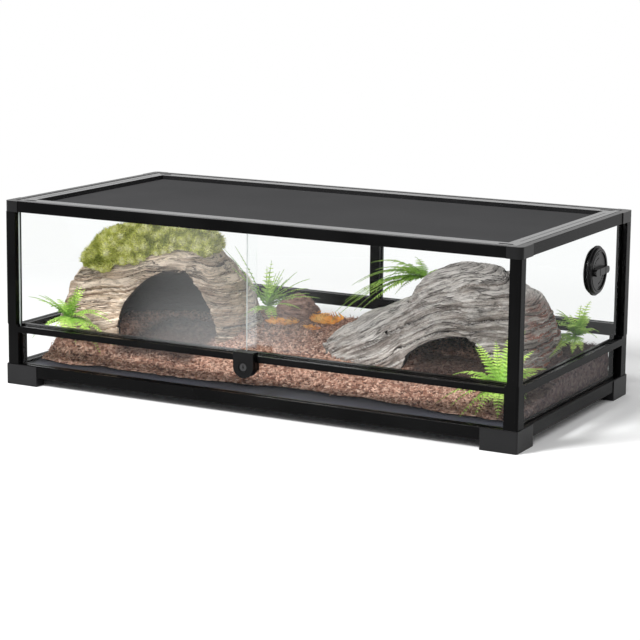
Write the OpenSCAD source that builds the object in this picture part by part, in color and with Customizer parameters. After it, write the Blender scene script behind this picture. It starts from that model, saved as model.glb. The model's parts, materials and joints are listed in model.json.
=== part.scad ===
// Low-profile reptile terrarium with a front sliding door, screen top, side vent and furnished floor.
// Millimetres. +Z is up and the doors face -Y. The origin is on the ground under the centre of the tank.

/* [Tank] */
// Overall width over the corner blocks
tank_w = 914; // [900:2:930]
// Overall depth over the corner blocks
tank_d = 457; // [450:1:470]
// Overall height from the ground to the top rim
tank_h = 305; // [300:1:330]

/* [Frame profiles] */
// Height of the top rails
top_rail_h = 18; // [17:0.5:20]
// Height of the base rails
base_rail_h = 20; // [19:0.5:22]
// Width of the upper posts and of the side, back and base rails
post_w = 18; // [17.5:0.5:20]
// Clear height under the base rails
ground_gap = 14; // [12:1:16]
// Top of the front and side middle rails
mid_z = 97; // [94:1:98]
// Wall of the hollow profiles
wall = 1.6; // [1.4:0.1:2]

/* [Glass] */
// Thickness of every pane
glass_t = 4; // [3:0.5:4]
// Play on each side of a pane in its groove
glass_play = 0.5; // [0.3:0.1:0.6]
// Overlap of the two sliding panes at the middle
door_lap = 24; // [16:2:40]

/* [Vent] */
// Diameter of the vent's rim
vent_d = 79; // [70:1:84]
// Centre of the vent from the middle of the side pane
vent_y = 88; // [40:1:120]
// Height of the vent's centre
vent_z = 225; // [190:1:235]

/* [Lock] */
// Width of the lock
lock_w = 36; // [30:1:40]
// Diameter of the key plug
plug_d = 12; // [10:1:14]

/* [Floor] */
// Height of the bedding at its front edge
bedding_front = 36; // [34:1:40]
// Height of the bedding at the back
bedding_back = 80; // [60:1:84]

/* [Hidden] */
$fn = 48;

// The corner blocks stand proud of the rails and posts by this much
proud = 1.2;
frame_w = tank_w - 2 * proud;
frame_d = tank_d - 2 * proud;

FRONT = 0;
RIGHT = 90;
BACK = 180;
LEFT = 270;
CORNERS = [[-1, -1], [1, -1], [-1, 1], [1, 1]];

// Heights
base_top = ground_gap + base_rail_h;
top_z = tank_h - top_rail_h;
joint_z = mid_z + 3;
side_mid_h = 12;
front_mid_h = 10;
back_mid_z = joint_z - 2;
back_mid_h = 20;
panel_t = 4;
panel_z = base_top - panel_t - 4;
panel_seat = 4.5;
panel_play = 0.5;

// Grooves, measured inwards from the frame's faces
groove_w = glass_t + 2 * glass_play;
groove_d = 6.5;
foot_groove_h = 6;
rail_groove_h = 3;
pane_d = groove_d + glass_play;
door_out_d = 8.5;
door_in_d = 20.5;
door_top_slot = 6;
door_foot_slot = 4;
front_depth = 37;
ledge_d = 34;
ledge_h = 8;
band_w = 12;

// Posts
low_post_x = 22;
low_post_y = 25;
post_seat = 5;

// Corner blocks and feet
corner_x = 25;
corner_y = 43;
corner_r = 8;
foot_l = 60;
foot_h = 33;
foot_arm = 22;
foot_floor = 3;
foot_wall = 3;

// Screen
screen_d = 14;
screen_w = 22;
screen_t = 9.5;
screen_z = top_z + ledge_h;
screen_wall = 1.4;
half_screen_x = frame_w / 2 - screen_d;
half_screen_y = frame_d / 2 - screen_d;
mesh_t = 0.8;
mesh_up = 1.6;
mesh_grip = 4;
mesh_play = 0.1;
mesh_edge_t = 0.5;
mesh_free = 0.4;
mesh_across = 6;
mesh_deep = 4;
mesh_bar = 22;
notch_near = 410;
notch_far = 434;
notch_w = 7;
notch_deep = 3;

// Vent
pane_x = frame_w / 2 - pane_d;
vent_hole_d = 62;
hub_r = 7;
pin_r = 3;
pin_play = 0.05;
dial_r = 32;
dial_t = 2.6;
hole_r = 1.5;

// Lock
lock_top = 103;
lock_round_z = 62.4;
lock_front = 9;
lock_hook = 6;
plug_z = 79.5;
plug_l = 11;
plug_play = 0.05;

function half(side) = (side == FRONT || side == BACK ? frame_d : frame_w) / 2;
function span(side) = side == FRONT || side == BACK ? frame_w : frame_d;

// A profile drawn as [depth from the outer face, height] runs along one side of the tank
module on_side(side, length) {
    rotate([0, 0, side]) translate([-length / 2, -half(side), 0])
        rotate([90, 0, 90]) linear_extrude(length) children();
}

// A pane drawn as [along the side, height] stands upright at a depth from the outer face
module pane_on_side(side, depth) {
    rotate([0, 0, side]) translate([0, -half(side) + depth + glass_t, 0])
        rotate([90, 0, 0]) linear_extrude(glass_t) children();
}

module rect(x0, y0, x1, y1) {
    translate([x0, y0]) square([x1 - x0, y1 - y0]);
}

// A rectangle with round corners made of true arcs
module soft_rect(x0, y0, x1, y1, r) {
    rect(x0 + r, y0, x1 - r, y1);
    rect(x0, y0 + r, x1, y1 - r);
    for (x = [x0 + r, x1 - r], y = [y0 + r, y1 - r]) translate([x, y]) circle(r);
}

// Corner blocks and feet

// Plan of a block whose outer corner is round, drawn for the +X +Y corner
module corner_plan(len_x, len_y, r) {
    translate([tank_w / 2, tank_d / 2]) {
        rect(-len_x, -len_y, -r, 0);
        rect(-len_x, -len_y, 0, -r);
        translate([-r, -r]) circle(r);
    }
}

// What is drawn for the +X +Y corner, moved to corner c
module at_corner(c) {
    mirror([c[0] < 0 ? 1 : 0, 0, 0]) mirror([0, c[1] < 0 ? 1 : 0, 0]) children();
}

// A foot is a cup that wraps the ends of two base rails and carries the corner
module foot(c) {
    color([0.16, 0.16, 0.16]) difference() {
        at_corner(c) difference() {
            linear_extrude(foot_h) corner_plan(foot_l, foot_l, 3);
            translate([0, 0, -1]) linear_extrude(foot_h + 2)
                translate([tank_w / 2 - foot_arm, tank_d / 2 - foot_arm])
                    rect(-foot_l, -foot_l, 0, 0);
            translate([0, 0, foot_floor]) linear_extrude(ground_gap - foot_floor + 1)
                translate([tank_w / 2, tank_d / 2]) {
                    rect(-foot_l + foot_wall, -foot_arm + foot_wall, -foot_arm - foot_wall, -foot_wall);
                    rect(-foot_arm + foot_wall, -foot_l + foot_wall, -foot_wall, -foot_arm - foot_wall);
                }
            translate([0, 0, panel_z - panel_play]) linear_extrude(foot_h)
                translate([frame_w / 2 - post_w, frame_d / 2 - post_w]) rect(-foot_l, -foot_l, 0, 0);
        }
        for (side = [FRONT, RIGHT, BACK, LEFT]) on_side(side, span(side))
            rect(0, ground_gap, post_w, base_top + 1);
    }
}

// A top corner carries the ends of two top rails: an outer band with a ledge for the screen
module top_corner_volume(c) {
    at_corner(c) difference() {
        translate([0, 0, top_z]) linear_extrude(top_rail_h) corner_plan(corner_x, corner_y, corner_r);
        translate([0, 0, top_z + ledge_h]) linear_extrude(top_rail_h)
            translate([frame_w / 2 - band_w, frame_d / 2 - band_w]) rect(-corner_x, -corner_y, 0, 0);
        translate([0, 0, top_z - 1]) linear_extrude(top_rail_h + 2)
            translate([frame_w / 2 - ledge_d, frame_d / 2 - ledge_d]) rect(-corner_x, -corner_y, 0, 0);
    }
}

module top_corner(c) {
    color([0.12, 0.12, 0.12]) difference() {
        top_corner_volume(c);
        glass_slots_top();
    }
}

// Base

module base_profile() {
    difference() {
        soft_rect(0, ground_gap, post_w, base_top, 1);
        rect(groove_d, base_top - foot_groove_h, groove_d + groove_w, base_top + 1);
        rect(post_w - panel_seat - panel_play, panel_z - panel_play,
            post_w + 1, panel_z + panel_t + panel_play);
        soft_rect(wall, ground_gap + wall, post_w - wall, panel_z - 2.2, 0.8);
    }
}

module base_rail(side) {
    length = side == FRONT || side == BACK ? frame_w : frame_d - 2 * post_w;
    color([0.05, 0.05, 0.05]) difference() {
        on_side(side, length) base_profile();
        if (side == FRONT || side == BACK) base_panel_volume(panel_play);
    }
}

module base_panel_volume(play) {
    inset = 2 * (post_w - panel_seat - play);
    translate([-(frame_w - inset) / 2, -(frame_d - inset) / 2, panel_z - play])
        cube([frame_w - inset, frame_d - inset, panel_t + 2 * play]);
}

module base_panel() {
    color([0.2, 0.2, 0.22]) base_panel_volume(0);
}

// Posts

// Plan of a post at the +X +Y corner: a round outer edge and the grooves that the panes stand in
module post_plan(len_x, len_y, r) {
    difference() {
        translate([frame_w / 2, frame_d / 2]) {
            rect(-len_x, -len_y, -r, 0);
            rect(-len_x, -len_y, 0, -r);
            translate([-r, -r]) circle(r);
        }
        children();
    }
}

// Groove in the post's inner Y face for the side pane
module side_groove(len_y) {
    translate([frame_w / 2, frame_d / 2])
        rect(-groove_d - groove_w, -len_y - 1, -groove_d, -len_y + post_seat + 1);
}

// Groove in the post's inner X face for a front or back pane
module face_groove(len_x) {
    translate([frame_w / 2, frame_d / 2])
        rect(-len_x - 1, -groove_d - groove_w, -len_x + post_seat + 1, -groove_d);
}

module lower_post(c) {
    color([0.05, 0.05, 0.05]) difference() {
        at_corner(c) translate([0, 0, base_top])
            linear_extrude(joint_z - base_top) post_plan(low_post_x, low_post_y, 5) {
                side_groove(low_post_y);
                face_groove(low_post_x);
            }
        if (c[1] < 0) for (d = [door_out_d, door_in_d]) on_side(FRONT, frame_w - 2 * post_w)
            rect(d, mid_z - door_foot_slot, d + groove_w, joint_z + 1);
    }
}

module upper_post(c) {
    color([0.05, 0.05, 0.05]) at_corner(c) translate([0, 0, joint_z])
        linear_extrude(top_z - joint_z) post_plan(post_w, post_w, 2.5) {
            side_groove(post_w);
            if (c[1] > 0) face_groove(post_w);
        }
}

// The centre post of the back has a groove on each side for the two back panes
module back_centre_post() {
    z0 = back_mid_z + back_mid_h;
    color([0.07, 0.07, 0.07]) translate([0, frame_d / 2, z0]) linear_extrude(top_z - z0)
        difference() {
            soft_rect(-post_w / 2, -post_w, post_w / 2, 0, 1);
            for (s = [-1, 1]) translate([s * post_w / 2, -groove_d - groove_w / 2])
                square([2 * post_seat, groove_w], center = true);
            soft_rect(-post_w / 2 + wall, -post_w + wall,
                post_w / 2 - wall, -groove_d - groove_w - wall, 0.6);
        }
}

// Middle rails

module mid_profile_front() {
    z0 = mid_z - front_mid_h;
    difference() {
        union() {
            soft_rect(0, z0, front_depth, mid_z, 1);
            rect(front_depth - 2.5, z0, front_depth, mid_z - 1);
        }
        for (d = [door_out_d, door_in_d])
            rect(d, mid_z - door_foot_slot, d + groove_w, mid_z + 1);
        rect(15, mid_z - 2.5, 19, mid_z + 1);
        rect(groove_d, z0 - 1, groove_d + groove_w, z0 + rail_groove_h);
        rect(13.5, z0 + wall, door_in_d - 1.5, mid_z - 4.5);
        rect(27, z0 + wall, front_depth - 2.6, mid_z - 2);
    }
}

module mid_profile(z0, height, depth) {
    difference() {
        soft_rect(0, z0, depth, z0 + height, 1);
        for (z = [z0 - 1, z0 + height - rail_groove_h])
            rect(groove_d, z, groove_d + groove_w, z + rail_groove_h + 1);
        soft_rect(wall, z0 + 4.5, depth - wall, z0 + height - 4.5, 0.5);
    }
}

module mid_rail_front() {
    color([0.04, 0.04, 0.04]) difference() {
        on_side(FRONT, frame_w - 2 * post_w) mid_profile_front();
        low_post_blocks();
    }
}

module mid_rail(side) {
    z0 = side == BACK ? back_mid_z : mid_z - side_mid_h;
    height = side == BACK ? back_mid_h : side_mid_h;
    length = side == BACK ? frame_w - 2 * post_w : frame_d - 2 * post_w;
    color([0.05, 0.05, 0.05]) difference() {
        on_side(side, length) mid_profile(z0, height, post_w);
        low_post_blocks();
        if (side != BACK) translate([0, 0, z0 - 1]) linear_extrude(height + 2)
            translate([-frame_w / 2 + post_w, -frame_d / 2])
                square([frame_w - 2 * post_w, front_depth]);
    }
}

module low_post_blocks() {
    for (c = CORNERS) at_corner(c) translate([0, 0, base_top]) linear_extrude(joint_z - base_top)
        translate([frame_w / 2, frame_d / 2]) rect(-low_post_x, -low_post_y, 1, 1);
}

// Top rails: an outer band that stands round the screen, and a ledge that the screen lies on

module top_profile(front) {
    z1 = tank_h;
    difference() {
        union() {
            soft_rect(0, top_z, band_w, z1, 1.2);
            rect(band_w / 2, top_z, ledge_d, top_z + ledge_h);
        }
        if (front) {
            for (d = [door_out_d, door_in_d]) rect(d, top_z - 1, d + groove_w, top_z + door_top_slot);
        } else {
            rect(groove_d, top_z - 1, groove_d + groove_w, top_z + door_top_slot);
            soft_rect(groove_d + groove_w + wall, top_z + wall,
                ledge_d - wall, top_z + ledge_h - wall, 0.8);
        }
        soft_rect(wall, top_z + ledge_h, band_w - wall, z1 - wall, 0.8);
    }
}

module top_rail(side) {
    lengthways = side == FRONT || side == BACK;
    length = lengthways ? tank_w - 2 * corner_x : frame_d - 2 * ledge_d;
    color([0.08, 0.08, 0.08]) difference() {
        on_side(side, length) top_profile(side == FRONT);
        if (!lengthways) for (c = CORNERS) top_corner_volume(c);
    }
}

// The grooves that the upper panes and doors reach up into
module glass_slots_top() {
    for (d = [door_out_d, door_in_d]) on_side(FRONT, frame_w - 2 * post_w + 4)
        rect(d, top_z - 1, d + groove_w, top_z + door_top_slot);
    for (side = [RIGHT, LEFT, BACK]) on_side(side, span(side) - 2 * (post_w - post_seat - 1))
        rect(groove_d, top_z - 1, groove_d + groove_w, top_z + door_top_slot);
}

// Glass

module lower_glass(side) {
    z0 = base_top - foot_groove_h;
    z1 = (side == BACK ? back_mid_z : side == FRONT ? mid_z - front_mid_h : mid_z - side_mid_h) + 2.5;
    reach = side == FRONT || side == BACK ? low_post_x : low_post_y;
    length = span(side) - 2 * (reach - post_seat);
    color([0.75, 0.85, 0.84, 0.35]) pane_on_side(side, pane_d)
        rect(-length / 2, z0, length / 2, z1);
}

module side_glass(side) {
    length = frame_d - 2 * (post_w - post_seat);
    color([0.75, 0.85, 0.84, 0.35]) difference() {
        pane_on_side(side, pane_d) rect(-length / 2, mid_z - 3, length / 2, top_z + 4);
        front_mid_blocks();
        if (side == RIGHT) translate([frame_w / 2 - 30, vent_y, vent_z]) rotate([0, 90, 0])
            cylinder(h = 40, d = vent_hole_d);
    }
}

// The side panes are notched where the lower posts rise past the middle rails
module front_mid_blocks() {
    for (c = CORNERS) at_corner(c) translate([0, 0, mid_z - 10]) linear_extrude(joint_z - mid_z + 10.5)
        translate([frame_w / 2, frame_d / 2]) rect(-30, -low_post_y - 0.5, 1, 1);
}

module back_glass(s) {
    x0 = post_w / 2 - post_seat + 0.5;
    x1 = frame_w / 2 - post_w + post_seat - 0.5;
    color([0.75, 0.85, 0.84, 0.35]) pane_on_side(BACK, pane_d)
        rect(s > 0 ? -x1 : x0, back_mid_z + back_mid_h - 3, s > 0 ? -x0 : x1, top_z + 4);
}

door_edge = frame_w / 2 - post_w - 0.8;
door_w = door_edge + door_lap / 2;

// s is -1 for the left door on the outer track and 1 for the right door on the inner track
module door_glass(s) {
    depth = (s < 0 ? door_out_d : door_in_d) + glass_play;
    x0 = s < 0 ? -door_edge : -door_lap / 2;
    color([0.78, 0.88, 0.87, 0.3]) pane_on_side(FRONT, depth)
        rect(x0, mid_z - door_foot_slot + 0.1, x0 + door_w, top_z + 2.5);
}

// Screen: four hollow rails with mitred ends, whose slots grip the edges of the mesh

// Profile of a rail as [depth from the screen's outer edge, height from its underside]
module screen_profile() {
    slot_d = mesh_grip + mesh_play;
    difference() {
        rect(0, 0, screen_w, screen_t);
        soft_rect(screen_wall, screen_wall,
            screen_w - slot_d - screen_wall, screen_t - screen_wall, 0.6);
        rect(screen_w - slot_d, mesh_up - mesh_play, screen_w + 1, mesh_up + mesh_edge_t + mesh_play);
    }
}

module screen_rail(side) {
    lengthways = side == FRONT || side == BACK;
    half_l = lengthways ? half_screen_x : half_screen_y;
    mitre_l = half_l - screen_w;
    color([0.1, 0.1, 0.1]) difference() {
        intersection() {
            on_side(side, 2 * half_l) translate([screen_d, screen_z]) screen_profile();
            rotate([0, 0, side]) translate([0, -half(side) + screen_d, screen_z - 1])
                linear_extrude(screen_t + 2)
                    polygon([[-half_l, 0], [half_l, 0], [mitre_l, screen_w], [-mitre_l, screen_w]]);
        }
        if (lengthways) finger_slots();
        else line_grooves();
    }
}

// Slots through the top wall near the screen's corners, to lift it by
module finger_slots() {
    for (c = CORNERS) at_corner(c) translate([0, 0, screen_z + screen_t - notch_deep])
        linear_extrude(notch_deep + 1)
            soft_rect(notch_near, half_screen_y - 5 - notch_w, notch_far, half_screen_y - 5, 2);
}

// A fine line along the top of each side rail
module line_grooves() {
    for (s = [-1, 1]) translate([s * (half_screen_x - screen_w / 2), 0, screen_z + screen_t])
        cube([1.2, 2 * half_screen_y - 80, 1.2], center = true);
}

// A plain grid of openings stands in for the fine weave. The edges that the rails grip are
// pressed thinner, so the weave's top lies free between the rails.
module screen_mesh() {
    open_x = 2 * (half_screen_x - screen_w);
    open_y = 2 * (half_screen_y - screen_w);
    pitch_x = open_x / mesh_across;
    pitch_y = open_y / mesh_deep;
    color([0.3, 0.3, 0.3]) translate([0, 0, screen_z + mesh_up]) difference() {
        union() {
            linear_extrude(mesh_edge_t)
                square([open_x + 2 * mesh_grip, open_y + 2 * mesh_grip], center = true);
            linear_extrude(mesh_t) square([open_x - 2 * mesh_free, open_y - 2 * mesh_free], center = true);
        }
        for (i = [0 : mesh_across - 1], j = [0 : mesh_deep - 1])
            translate([(i + 0.5) * pitch_x - open_x / 2, (j + 0.5) * pitch_y - open_y / 2, -1])
                linear_extrude(mesh_t + 2) square([pitch_x - mesh_bar, pitch_y - mesh_bar], center = true);
    }
}

// Vent, drawn with its axis along +Z from the outer face of the pane, then laid on the right pane

module on_vent() {
    translate([pane_x, vent_y, vent_z]) rotate([0, 90, 0]) rotate([0, 0, 90]) children();
}

// Two rings of small round holes, each as [radius, pitch], in two opposite quarters:
// a quarter turn of the dial shuts them
module vent_holes(height) {
    for (ring = [[27, 10], [20.5, 13.5]], a = [95 : ring[1] : 176], turn = [0, 180])
        rotate([0, 0, a + turn]) translate([ring[0], 0, -1])
            cylinder(h = height + 2, r = hole_r, $fn = 16);
}

module vent_flange() {
    color([0.07, 0.07, 0.07]) on_vent() difference() {
        union() {
            rotate_extrude() polygon([
                [vent_hole_d / 2 - 3.5, -glass_t - 2.5], [vent_hole_d / 2 - 0.5, -glass_t - 2.5],
                [vent_hole_d / 2 - 0.5, 0], [vent_d / 2, 0], [vent_d / 2, 2.4], [vent_d / 2 - 1, 3.4],
                [vent_d / 2 - 3, 3.4], [vent_d / 2 - 3, 6], [vent_d / 2 - 4, 7],
                [dial_r + 0.6, 7], [dial_r + 0.6, 3], [vent_hole_d / 2 - 3.5, 3]
            ]);
            translate([0, 0, 0.6]) cylinder(h = 2.4, r = vent_hole_d / 2 - 3);
            translate([0, 0, -3]) cylinder(h = 5, r = hub_r);
        }
        translate([0, 0, -4]) cylinder(h = 12, r = pin_r + pin_play);
        vent_holes(4);
    }
}

module vent_inner_ring() {
    color([0.07, 0.07, 0.07]) on_vent() rotate_extrude() polygon([
        [vent_hole_d / 2 - 0.4, -glass_t], [vent_hole_d / 2 - 0.4, -glass_t - 2.5],
        [vent_d / 2 - 5, -glass_t - 2.5], [vent_d / 2 - 3, -glass_t]
    ]);
}

// The dial turns on its pin: its holes line up with the flange's, or cover them
module vent_dial() {
    grip_w = 11;
    grip_h = 7.4;
    color([0.06, 0.06, 0.06]) on_vent() difference() {
        union() {
            translate([0, 0, 3.3]) cylinder(h = dial_t, r = dial_r);
            translate([0, 0, -3.5]) cylinder(h = 7.4, r = pin_r);
            translate([0, 0, -5.5]) cylinder(h = 2.2, r = pin_r + 2);
            translate([0, 0, 3.3 + dial_t]) linear_extrude(1.8) difference() {
                circle(dial_r);
                circle(dial_r - 1.6);
            }
            translate([0, 0, 3.3]) linear_extrude(dial_t + grip_h) {
                square([2 * dial_r - grip_w - 6, grip_w], center = true);
                for (s = [-1, 1]) translate([s * (dial_r - grip_w / 2 - 3), 0]) circle(d = grip_w);
            }
        }
        translate([0, 0, 3.3]) vent_holes(dial_t);
        for (s = [-1, 1]) translate([s * 12, 0, 3.3 + dial_t + grip_h]) rotate([90, 0, 0])
            cylinder(h = grip_w + 2, r = 1.2, center = true);
    }
}

// Lock: a clip that grips the front middle rail from above and below, with a key plug

module lock_housing() {
    z_arc = lock_round_z + lock_w / 2;
    front_y = -frame_d / 2 - lock_front;
    color([0.05, 0.05, 0.05]) difference() {
        union() {
            translate([0, front_y + lock_front + pane_d - 0.2, 0]) rotate([90, 0, 0])
                linear_extrude(lock_front + pane_d - 0.2) intersection() {
                    union() {
                        rect(-lock_w / 2, z_arc, lock_w / 2, mid_z);
                        translate([0, z_arc]) circle(lock_w / 2);
                    }
                    rect(-lock_w, 0, lock_w, mid_z - front_mid_h - 0.1);
                }
            translate([0, -frame_d / 2 - 0.1, 0]) rotate([90, 0, 0]) linear_extrude(lock_front - 0.1)
                soft_rect(-lock_w / 2, z_arc, lock_w / 2, lock_top, 2);
            translate([0, -frame_d / 2 + lock_hook, 0]) rotate([90, 0, 0]) linear_extrude(lock_hook + 1)
                rect(-lock_w / 2, mid_z + 0.1, lock_w / 2, lock_top);
        }
        translate([0, -frame_d / 2, 0]) rotate([90, 0, 0]) translate([0, 0, -8])
            linear_extrude(lock_hook + 2) translate([0, z_arc]) difference() {
                translate([-lock_w, -lock_w]) square([2 * lock_w, lock_w]);
                circle(lock_w / 2);
            }
        translate([0, front_y - 1, plug_z]) rotate([-90, 0, 0]) {
            cylinder(h = plug_l + 1, r = plug_d / 2 + plug_play);
            cylinder(h = 1.8, r = plug_d / 2 + 2.2);
        }
        for (s = [-1, 1]) translate([s * lock_w / 2, front_y + lock_front / 2, mid_z - 22])
            cube([1.6, 2.4, 26], center = true);
    }
}

module lock_back_plate() {
    y0 = -frame_d / 2 + pane_d + glass_t;
    color([0.09, 0.09, 0.09]) translate([0, y0 + 3, 0]) rotate([90, 0, 0]) linear_extrude(3)
        soft_rect(-lock_w / 2 + 2, 72, lock_w / 2 - 2, mid_z - front_mid_h, 1.5);
}

module lock_plug() {
    front_y = -frame_d / 2 - lock_front;
    color([0.35, 0.35, 0.36]) difference() {
        translate([0, front_y + 0.4, plug_z]) rotate([-90, 0, 0])
            cylinder(h = plug_l - 0.8, r = plug_d / 2);
        translate([-0.6, front_y - 1, plug_z - 3.4]) cube([1.2, 5, 6.8]);
        translate([0, front_y - 1, plug_z]) rotate([-90, 0, 0]) cylinder(h = 3, r = 1.3);
    }
}

// Forms of the furnishings

// Closed skin through a list of rings with equal numbers of points, its ends drawn to a point
function mean(ring) = [for (k = [0 : 2]) let (c = [for (p = ring) p[k]]) sum(c) / len(c)];
function sum(v, i = 0) = i < len(v) ? v[i] + sum(v, i + 1) : 0;
module loft(rings) {
    n = len(rings);
    m = len(rings[0]);
    points = [for (r = rings) each r, mean(rings[0]), mean(rings[n - 1])];
    walls = [for (i = [0 : n - 2], j = [0 : m - 1])
        let (a = i * m + j, b = i * m + (j + 1) % m) each [[a, b, b + m], [a, b + m, a + m]]];
    ends = [for (j = [0 : m - 1]) each [
        [n * m, (j + 1) % m, j],
        [n * m + 1, (n - 1) * m + j, (n - 1) * m + (j + 1) % m]]];
    polyhedron(points = points, faces = concat(walls, ends), convexity = 8);
}

function clamp01(t) = max(0, min(1, t));
function smooth(t) = let (c = clamp01(t)) c * c * (3 - 2 * c);
// Value of one column of a table at x, eased between its rows
function along(table, x, col, i = 0) =
    i >= len(table) - 2 || x < table[i + 1][0]
        ? let (a = table[i], b = table[i + 1], t = clamp01((x - a[0]) / (b[0] - a[0])))
            a[col] + (b[col] - a[col]) * t
        : along(table, x, col, i + 1);
function fraction(t) = t - floor(t);

// Height of the bedding: low at the front, banked up to the back and at the front of the left
// rock, with soft mounds
function bedding(x, y) =
    bedding_front + (bedding_back - bedding_front) * smooth((y + 185) / 280)
    + 28 * smooth((-x - 308) / 60) * smooth((y + 196) / 60) * smooth((30 - y) / 110)
    + 2.2 * sin(x * 1.9 + 40) * cos(y * 1.6) + 1.4 * sin(x * 4.3 + y * 3.1);
function bedding_edge_y(x) =
    max(foot_arm + 0.5 - tank_d / 2, -189 + 21 * cos(0.6 * (x - 90)) + 2.5 * sin(x * 3.2));

module substrate() {
    nx = 36;
    ny = 13;
    side = frame_w / 2 - low_post_x - 0.5;
    back = tank_d / 2 - foot_arm - 0.5;
    floor_z = panel_z + panel_t;
    grid = [for (j = [0 : ny]) [for (i = [0 : nx])
        let (
            u = i / nx, v = j / ny,
            x = side * (2 * u - 1),
            y = bedding_edge_y(x) + (back - bedding_edge_y(x)) * v
        ) [x, y, floor_z + 1.6 + (bedding(x, y) - floor_z - 1.6) * smooth(v * 5)]]];
    m = nx + 1;
    top = [for (row = grid) each row];
    under = [for (p = top) [p[0], p[1], floor_z]];
    count = len(top);
    cells = [for (j = [0 : ny - 1], i = [0 : nx - 1]) let (a = j * m + i)
        each [[a, a + m, a + m + 1], [a, a + m + 1, a + 1],
              [count + a, count + a + m + 1, count + a + m],
              [count + a, count + a + 1, count + a + m + 1]]];
    loop = concat([for (i = [0 : nx - 1]) i], [for (j = [0 : ny - 1]) j * m + nx],
        [for (i = [nx : -1 : 1]) ny * m + i], [for (j = [ny : -1 : 1]) j * m]);
    skirt = [for (k = [0 : len(loop) - 1]) let (a = loop[k], b = loop[(k + 1) % len(loop)])
        each [[a, b, count + b], [a, count + b, count + a]]];
    color([0.42, 0.27, 0.2])
        polyhedron(points = concat(top, under), faces = concat(cells, skirt), convexity = 6);
}

// A rock is a row of stations along X: [x, top, front y, back y]. Its strata are ledges that
// follow the height, tilted along X.
function ledge(x, z, step, tilt, deep) =
    deep * (fraction((z - tilt * x + 4 * sin(x * 2.1)) / step) - 0.5)
    + 0.35 * deep * sin(x * 5.3 + z * 2.7);
function rock_ring(table, x, foot, points, step, tilt, deep) =
    let (
        top = along(table, x, 1), y0 = along(table, x, 2), y1 = along(table, x, 3),
        mid = (y0 + y1) / 2, wide = (y1 - y0) / 2, high = top - foot
    )
    [for (k = [0 : points])
        let (
            a = 180 * k / points,
            cy = -cos(a), sz = sin(a),
            z = foot + high * pow(sz, 0.72),
            out = k == 0 || k == points ? 0 : ledge(x, z, step, tilt, deep)
        ) [
            x + out * 0.4 * sin(x * 3.7 + k * 31),
            mid + (wide + out) * sign(cy) * pow(abs(cy), 0.85),
            z + 0.25 * out
        ]];

module rock_body(table, foot, stations, points, step, tilt, deep) {
    x0 = table[0][0];
    x1 = table[len(table) - 1][0];
    loft([for (i = [0 : stations])
        rock_ring(table, x0 + (x1 - x0) * i / stations, foot, points, step, tilt, deep)]);
}

// The same table drawn in by a wall's thickness, for the hollow inside
function inset(table, t) = let (x0 = table[0][0], x1 = table[len(table) - 1][0])
    [for (r = table)
        [x0 + t + (r[0] - x0) * (x1 - x0 - 2 * t) / (x1 - x0), r[1] - t, r[2] + t, r[3] - t]];

// An arched way in, as rows along its depth: [y, middle x, half width, top]
function arch_ring(row, foot, points) =
    [for (k = [0 : points]) let (a = 180 * k / points)
        [row[1] - row[2] * cos(a) * (1 + 0.06 * sin(k * 77)), row[0],
         foot + (row[3] - foot) * pow(sin(a), 0.7) * (1 + 0.04 * sin(k * 59))]];
module cave(rows, foot, points) {
    loft([for (i = [len(rows) - 1 : -1 : 0]) arch_ring(rows[i], foot, points)]);
}

LEFT_ROCK = [
    [-433, 150, -110, 10], [-427, 177, -114, 50], [-404, 197, -112, 84], [-360, 208, -104, 106],
    [-310, 215, -98, 118], [-262, 221, -90, 124], [-226, 216, -76, 124], [-196, 194, -56, 118],
    [-168, 161, -30, 108], [-152, 122, 0, 88]
];
LEFT_CAVE = [[-150, -243, 80, 194], [-60, -245, 80, 186], [10, -254, 68, 150]];
RIGHT_ROCK = [
    [8, 82, 0, 60], [26, 98, -22, 84], [70, 126, -36, 110], [110, 145, -42, 128], [160, 166, -46, 142],
    [184, 204, -44, 150], [215, 223, -42, 154], [288, 223, -36, 156], [328, 198, -28, 152],
    [360, 184, -10, 146], [382, 152, 10, 132], [393, 108, 28, 110]
];
RIGHT_CAVE = [[-90, 260, 84, 122], [-30, 260, 82, 120], [20, 258, 68, 104]];
ROCK_FOOT = panel_z + panel_t;
ROCK_WALL = 14;

module left_rock_body() {
    rock_body(LEFT_ROCK, ROCK_FOOT, 34, 26, 25, 0.2, 11);
}

module rock_hide_left() {
    color([0.55, 0.46, 0.37]) resize([0, 0, 0]) difference() {
        left_rock_body();
        rock_body(inset(LEFT_ROCK, ROCK_WALL), ROCK_FOOT - 8, 14, 12, 25, 0, 0);
        cave(LEFT_CAVE, ROCK_FOOT - 8, 12);
    }
}

module rock_hide_right() {
    color([0.5, 0.48, 0.46]) resize([0, 0, 0]) difference() {
        rock_body(RIGHT_ROCK, ROCK_FOOT, 38, 26, 21, 0.12, 10);
        rock_body(inset(RIGHT_ROCK, ROCK_WALL), ROCK_FOOT - 8, 16, 12, 21, 0, 0);
        cave(RIGHT_CAVE, ROCK_FOOT - 8, 12);
    }
}

// A mat of moss on the left rock: a low cushion with a round lobe at its left end
MOSS = [
    [-410, 196, -72, -30], [-403, 215, -82, -10], [-384, 237, -88, 14], [-356, 248, -80, 50],
    [-318, 252, -60, 80], [-288, 252, -44, 84], [-252, 251, -30, 78], [-222, 243, -16, 66],
    [-208, 226, -6, 52]
];
module moss_mat() {
    color([0.6, 0.68, 0.25]) resize([0, 0, 0]) difference() {
        rock_body(MOSS, 176, 22, 16, 9, 0, 3);
        left_rock_body();
    }
}

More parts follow.
